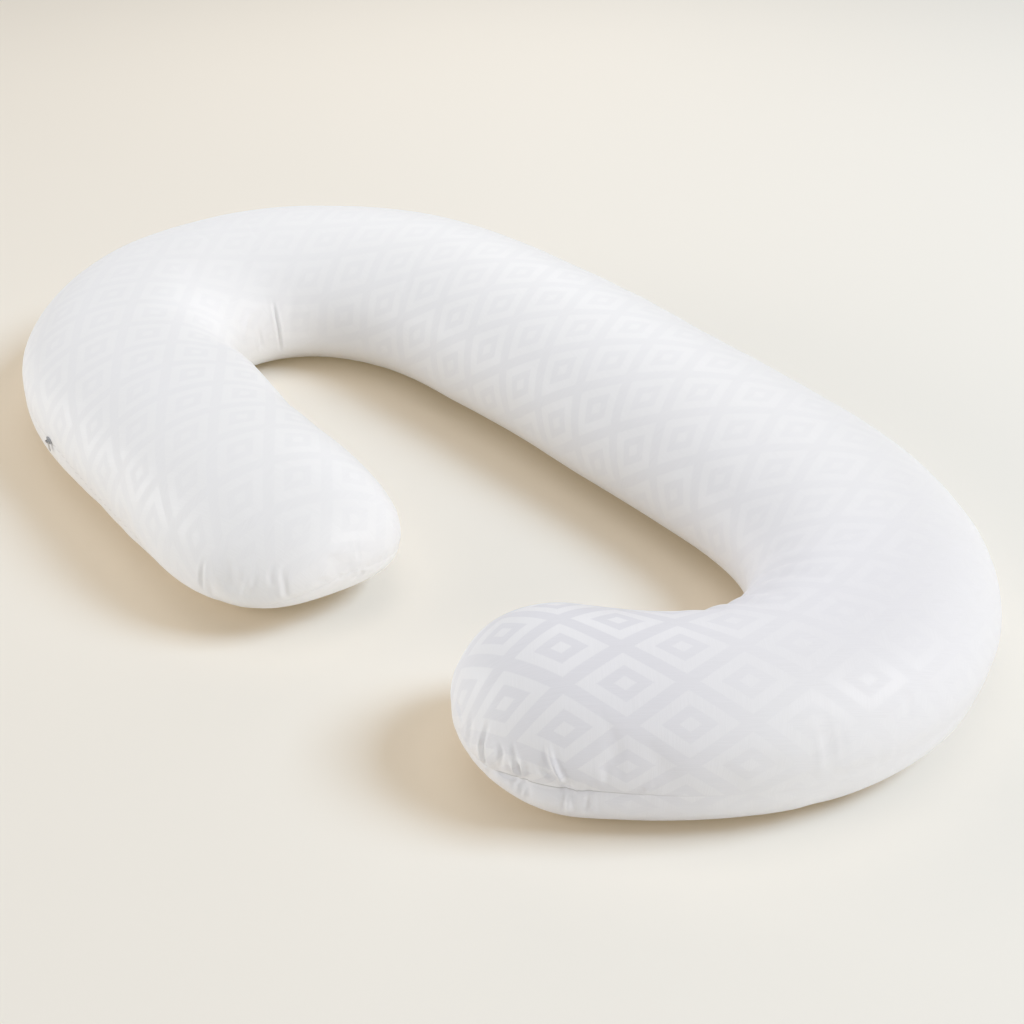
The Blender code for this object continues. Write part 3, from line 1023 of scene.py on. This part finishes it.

# Painted sheen and shade by place: where the figure shows more, its duller ground darkens the cloth, and the
# painted cool sheen darkens and cools it, most round the near bend.
inwards = smooth_step((180 - np.abs((degrees % 360) - 180)) / 180)
columns = [through_rows(PAINTED_SHEEN_TABLE, column, share) for column in range(1, 5)]
shows, lilac = (outer + (inner - outer) * inwards for outer, inner in (columns[:2], columns[2:]))
shows *= 1 - UNDER_PLAINER * smooth_step(-UNDER_EDGE * np.sin(np.radians(degrees)))
keep_numbers(cover, "figure_shows", shows)
keep_numbers(cover, "lilac", lilac)
print("the figure shows from", round(shows.min(), 2), "to", round(shows.max(), 2))

# %% White jacquard satin
PLAIN_WHITE = (0.920, 0.920, 0.922, 1.0)
# painted cool sheen and shade: the darker, cooler white that the cloth turns to round the near bend
SHEEN_SHADE_WHITE = (0.820, 0.812, 0.848, 1.0)
FIGURE_TONE = (1.0, 1.0, 1.0, 1.0)
GROUND_TONE = (0.880, 0.878, 0.902, 1.0)       # what is left of the cloth's colour between the figures
# partly the stitches' own grey, partly painted shade in the seam's ditch
STITCH_AND_DITCH_SHADE_GREY = (0.50, 0.49, 0.48, 1.0)
WARM_DRIFT = (1.0, 0.998, 0.992, 1.0)
COOL_DRIFT = (0.990, 0.990, 1.0, 1.0)
DRIFTS = 3.2                   # patches of drift to the metre
STITCH_LINE = 0.0009           # half the width of the dark line, in metres
FIGURE_ROUGHNESS, GROUND_ROUGHNESS = 0.46, 0.60
SLUB_TONE, SLUB_ROUGHNESS = 0.05, 0.10         # how much a slub changes the colour and the gloss
THREAD_BUMP, THREAD_STRENGTH = 0.00008, 0.5    # metres from the bottom to the top of a slub


def make_satin():
    material, tree = new_material("white jacquard satin")
    cloth = add_node(tree, "ShaderNodeUVMap", settings={"uv_map": "cloth"}).outputs[0]
    figure = use_group(tree, figure_group, Cloth=cloth).outputs["Figure"]
    threads = use_group(tree, threads_group, Cloth=cloth, Figure=figure)
    slub = calculate(tree, "SUBTRACT", threads.outputs["Slub"], 0.5)

    # the cloth's white, darkened and cooled by the painted cool sheen and shade
    colour = blend_colours(tree, read_number(tree, "lilac"), PLAIN_WHITE, SHEEN_SHADE_WHITE)
    plain = calculate(tree, "SUBTRACT", 1.0, figure)
    ground = calculate(tree, "MULTIPLY", plain, read_number(tree, "figure_shows"))
    here = add_node(tree, "ShaderNodeTexCoord").outputs["Object"]
    drift = add_node(tree, "ShaderNodeTexNoise", "drift", Vector=here, Scale=DRIFTS, Detail=2.0).outputs[0]
    streak = calculate(tree, "MULTIPLY_ADD", slub, SLUB_TONE, 1.0)
    for tone in (
        blend_colours(tree, ground, FIGURE_TONE, GROUND_TONE),
        blend_colours(tree, drift, WARM_DRIFT, COOL_DRIFT),
        add_node(tree, "ShaderNodeCombineXYZ", X=streak, Y=streak, Z=streak).outputs[0],
    ):
        colour = blend_colours(tree, 1.0, colour, tone, "MULTIPLY")
    # The thin dark line along the seam: partly the stitches' grey, partly painted shade in the ditch, darker
    # where the ditch is deeper.
    away = calculate(tree, "DIVIDE", read_number(tree, "from_seam"), STITCH_LINE)
    stitch_and_ditch_shade = calculate(tree, "SUBTRACT", 1.0, away)
    stitch_and_ditch_shade.node.use_clamp = True
    stitch_and_ditch_shade = calculate(tree, "MULTIPLY", stitch_and_ditch_shade, read_number(tree, "seam_depth"))
    colour = blend_colours(tree, stitch_and_ditch_shade, colour, STITCH_AND_DITCH_SHADE_GREY)

    gloss = calculate(tree, "MULTIPLY_ADD", figure, FIGURE_ROUGHNESS - GROUND_ROUGHNESS, GROUND_ROUGHNESS)
    gloss = calculate(tree, "MULTIPLY_ADD", slub, SLUB_ROUGHNESS, gloss)
    normal = bump(tree, threads.outputs["Height"], THREAD_STRENGTH, THREAD_BUMP)
    feed_shader(tree, Base_Color=colour, Roughness=gloss, Normal=normal,
                Specular_IOR_Level=0.40, Sheen_Weight=0.18, Sheen_Roughness=0.45)
    return material


satin = make_satin()
cover.data.materials.append(satin)
print("satin:", len(satin.node_tree.nodes), "nodes")

# %% [markdown]
# ## The zip's metal
#
# The slider and its pull keep their solids, because their shape is right already. What they lack is a metal
# that has been handled: cast zinc with a faint grain, brighter where fingers rub it and duller in its
# hollows. One group makes the grain and the rubbing, and each piece mixes it with its own values.

# %% Grain and rubbing
PATCHES, PATCH_SHARE = 260.0, 0.6              # rubbed patches to the metre, and how much they tell
EDGE_GAIN, EDGE_START = 6.0, -2.9              # turn the sharpness of an edge into how far it is rubbed
DULL_ROUGHNESS, RUBBED_SMOOTHER, GRAIN_ROUGHER = 0.42, -0.18, 0.12


def make_handling():
    group, given, result = new_group(
        "handled metal",
        (("Dull", "NodeSocketColor", None), ("Bright", "NodeSocketColor", None),
         ("Grain", "NodeSocketFloat", 900.0)),
        (("Colour", "NodeSocketColor"), ("Roughness", "NodeSocketFloat"), ("Height", "NodeSocketFloat")))
    dull, bright, grain_scale = (given.outputs[name] for name in ("Dull", "Bright", "Grain"))
    here = add_node(group, "ShaderNodeTexCoord").outputs["Object"]
    grain = add_node(group, "ShaderNodeTexNoise", "cast grain", Vector=here, Scale=grain_scale, Detail=3.0)
    patches = add_node(group, "ShaderNodeTexNoise", "rubbed patches", Vector=here, Scale=PATCHES, Detail=1.0)
    edge = add_node(group, "ShaderNodeNewGeometry").outputs["Pointiness"]
    rubbed = calculate(group, "MULTIPLY_ADD", edge, EDGE_GAIN, EDGE_START)
    rubbed = calculate(group, "ADD", rubbed, calculate(group, "MULTIPLY", patches.outputs[0], PATCH_SHARE))
    rubbed.node.use_clamp = True
    roughness = calculate(group, "MULTIPLY_ADD", rubbed, RUBBED_SMOOTHER, DULL_ROUGHNESS)
    roughness = calculate(group, "MULTIPLY_ADD", grain.outputs[0], GRAIN_ROUGHER, roughness)
    feed(group, result.inputs["Colour"], blend_colours(group, rubbed, dull, bright))
    feed(group, result.inputs["Roughness"], roughness)
    feed(group, result.inputs["Height"], grain.outputs[0])
    return group


handling_group = make_handling()
print("handled metal:", len(handling_group.nodes), "nodes")

# %% Zinc for the slider and its pull
METALS = (
    # node, dull colour, bright colour, grains to the metre
    ("zip_slider", (0.20, 0.21, 0.22, 1.0), (0.52, 0.53, 0.55, 1.0), 2600.0),
    ("zip_pull", (0.30, 0.31, 0.32, 1.0), (0.66, 0.67, 0.68, 1.0), 1800.0),
)
GRAIN_HEIGHT, GRAIN_STRENGTH = 0.00002, 0.6

for node_name, dull, bright, grain in METALS:
    zinc, tree = new_material(node_name + " zinc")
    handled = use_group(tree, handling_group, Dull=dull, Bright=bright, Grain=grain).outputs
    normal = bump(tree, handled["Height"], GRAIN_STRENGTH, GRAIN_HEIGHT)
    feed_shader(tree, Base_Color=handled["Colour"], Roughness=handled["Roughness"], Normal=normal,
                Metallic=0.9)
    node = bpy.data.objects[node_name]
    node.data.materials.clear()
    node.data.materials.append(zinc)
    print(node_name, "is zinc now")

# %% [markdown]
# ## Floor, light and camera
#
# The pillow lies on a pale cream studio floor. A studio would hang a long roll of paper. Here the floor is
# a disc that turns clear towards its rim and melts into the cream that the camera sees beyond it, so it has
# no edge from any side. A pale world fills in all the shadows. Two wide soft lamps stand side by side far
# behind the pillow's right, which leaves long soft shadows towards the front left. One is plain white and
# lights only the pillow. The other has a pale blue gel and lights only the floor, whose own cream is deep:
# together they look almost white, and the shadow under the pillow, where neither reaches, keeps the warm
# brown of the cream itself and of a faint warm glow painted into the floor, which gives off light though it
# is no lamp and so lifts and warms its shadows. Blender's light linking does what a studio does with black
# flags. Two large low lamps, at the left and in front, lift the sides that turn away, one overhead evens out
# the crowns, and two small ones stand close behind the pillow and brighten its upper edge. The camera looks
# down on the near arm from the front right.

# %% The floor
FLOOR_CREAM = (0.845, 0.725, 0.580, 1.0)
# a painted warm glow: the floor gives off a little light though it is no lamp, which lifts its shadows and
# keeps them warm
FLOOR_PAINTED_GLOW = (0.046, 0.039, 0.018, 1.0)
FLOOR_RADIUS, FLOOR_SIDES = 4.8, 96
FADES_FROM = 3.0               # metres from the pillow's middle; at the rim the floor is clear
MOTTLES, MOTTLED = 1.5, 0.985  # paler patches to the metre, and how dark the others are beside them

bpy.ops.object.select_all(action="DESELECT")
bpy.ops.mesh.primitive_circle_add(vertices=FLOOR_SIDES, radius=FLOOR_RADIUS, fill_type="NGON")
floor = bpy.context.object
floor.name = "floor"
cream, paper = new_material("cream floor")
here = add_node(paper, "ShaderNodeTexCoord").outputs["Object"]
mottle = add_node(paper, "ShaderNodeTexNoise", Vector=here, Scale=MOTTLES, Detail=3.0).outputs[0]
darker = tuple(value * MOTTLED for value in FLOOR_CREAM[:3]) + (1.0,)
far = add_node(paper, "ShaderNodeVectorMath", settings={"operation": "LENGTH"}, Vector=here).outputs["Value"]
solid = add_node(paper, "ShaderNodeMapRange", settings={"interpolation_type": "SMOOTHSTEP"}, Value=far,
                 From_Min=FADES_FROM, From_Max=FLOOR_RADIUS, To_Min=1.0, To_Max=0.0).outputs[0]
# the emission is the painted warm glow
feed_shader(paper, Base_Color=blend_colours(paper, mottle, FLOOR_CREAM, darker), Alpha=solid,
            Roughness=0.85, Specular_IOR_Level=0.2, Emission_Color=FLOOR_PAINTED_GLOW, Emission_Strength=1.0)
floor.data.materials.append(cream)
print("floor: clear", FLOOR_RADIUS, "m from the middle, solid up to", FADES_FROM, "m")

# %% The world
WORLD_WHITE = (0.985, 0.990, 1.0, 1.0)
WORLD_STRENGTH = 0.305
FAR_CREAM = (0.830, 0.790, 0.735, 1.0)         # what is seen where the floor has faded

world = bpy.data.worlds.new("studio")
world.use_nodes = True
air = world.node_tree
lit = air.nodes["Background"]
lit.inputs["Color"].default_value = WORLD_WHITE
lit.inputs["Strength"].default_value = WORLD_STRENGTH
seen = add_node(air, "ShaderNodeBackground", Color=FAR_CREAM, Strength=1.0)
from_camera = add_node(air, "ShaderNodeLightPath").outputs["Is Camera Ray"]
either = air.nodes.new("ShaderNodeMixShader")
for socket, value in zip(either.inputs, (from_camera, lit.outputs[0], seen.outputs[0])):
    feed(air, socket, value)
feed(air, air.nodes["World Output"].inputs["Surface"], either.outputs[0])
bpy.context.scene.world = world


# %% Lamps
def collect(name, pieces):
    """A collection of pieces, for lamps that light nothing else."""
    collection = bpy.data.collections.new(name)
    for piece in pieces:
        collection.objects.link(piece)
    return collection


def soft_lamp(name, bearing, height, away, size, watts, colour, only_on):
    """An area lamp that looks at the middle of the floor, placed by its two angles in degrees."""
    lamp = bpy.data.lights.new(name, "AREA")
    lamp.shape = "RECTANGLE"
    lamp.size, lamp.size_y = size
    lamp.energy = watts
    lamp.color = colour
    lamp_object = bpy.data.objects.new(name, lamp)
    bpy.context.scene.collection.objects.link(lamp_object)
    turned, raised = radians(bearing), radians(height)
    direction = Vector((cos(turned) * cos(raised), sin(turned) * cos(raised), sin(raised)))
    lamp_object.location = direction * away
    lamp_object.rotation_euler = (-direction).to_track_quat("-Z", "Y").to_euler()
    if only_on:
        lamp_object.light_linking.receiver_collection = only_on


the_pillow = collect("what the white lamp lights", [cover] + [bpy.data.objects[row[0]] for row in METALS])
the_floor = collect("what the blue lamp lights", [floor])
NEUTRAL = (0.99, 0.993, 1.0)
PALE_BLUE = (0.50, 0.695, 1.0)
LAMPS = (
    # name, angle round from +X and angle up, metres away, its size, watts, colour, what alone it lights
    ("white key lamp", 27.0, 35.0, 7.5, (2.8, 2.8), 253.0, NEUTRAL, the_pillow),
    ("blue key lamp", 42.0, 45.0, 7.5, (2.8, 2.8), 520.0, PALE_BLUE, the_floor),
    ("low left fill lamp", 227.0, 13.0, 7.5, (5.0, 3.2), 245.0, NEUTRAL, None),
    ("low front fill lamp", 337.0, 18.0, 7.5, (5.0, 4.2), 36.0, NEUTRAL, None),
    ("top lamp", 137.0, 88.0, 6.0, (4.0, 4.0), 72.0, NEUTRAL, None),
    ("rim lamp", 137.0, 35.0, 2.6, (1.6, 1.6), 6.6, NEUTRAL, None),
    ("rim lamp on the cloth", 120.0, 35.0, 2.6, (1.6, 1.6), 9.5, NEUTRAL, the_pillow),
)
for row in LAMPS:
    soft_lamp(*row)
print(len(LAMPS), "lamps")

# %% The camera
TARGET = Vector((0.0852, 0.0221, 0.0))
AZIMUTH, ELEVATION = 47.31, 35.06
DISTANCE = 1.732
LENS = 48.58

camera = bpy.data.objects.new("camera", bpy.data.cameras.new("camera"))
bpy.context.scene.collection.objects.link(camera)
camera.data.lens = LENS
turned, raised = radians(AZIMUTH), radians(ELEVATION)
back = Vector((sin(turned) * cos(raised), -cos(turned) * cos(raised), sin(raised)))
camera.location = TARGET + back * DISTANCE
camera.rotation_euler = (-back).to_track_quat("-Z", "Y").to_euler()
bpy.context.scene.camera = camera
bpy.context.scene.view_settings.view_transform = "Standard"
print("camera at", [round(value, 3) for value in camera.location])
